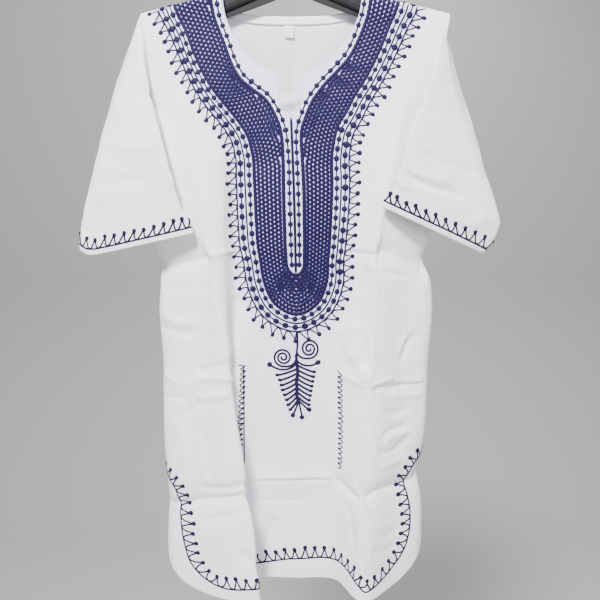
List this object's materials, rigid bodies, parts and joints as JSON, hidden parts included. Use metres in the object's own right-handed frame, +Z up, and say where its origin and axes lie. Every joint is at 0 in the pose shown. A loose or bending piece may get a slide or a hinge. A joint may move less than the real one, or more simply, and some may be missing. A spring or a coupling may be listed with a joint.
{
  "type": "dashiki shirt on a hanger",
  "caption": "Short-sleeved kaftan shirt with a notched round neck, embroidered front panel, side vents and rounded hem corners, hung on a plain moulded hanger.",
  "frame": {"origin": "inside top of the hanger's hook, where it hangs on a rail or a peg", "axes": "+Z up, +X to the right of someone who faces the shirt's front, -Y out of the shirt's front"},
  "size_m": [0.6342, 0.1364, 1.0375],
  "materials": {
    "white_cotton": "matt plain-woven white cotton with blue-violet corded embroidery",
    "blue_thread": "slightly shiny twisted embroidery thread",
    "woven_label": "plain woven ribbon, bare",
    "black_plastic": "satin injection-moulded black plastic"
  },
  "bodies": {
    "root": {"front": "white_cotton", "back": "white_cotton", "sleeve_left": "white_cotton", "sleeve_right": "white_cotton", "back_neck_facing": "white_cotton", "neck_label": "woven_label", "hanger": "black_plastic"}
  },
  "joints": []
}
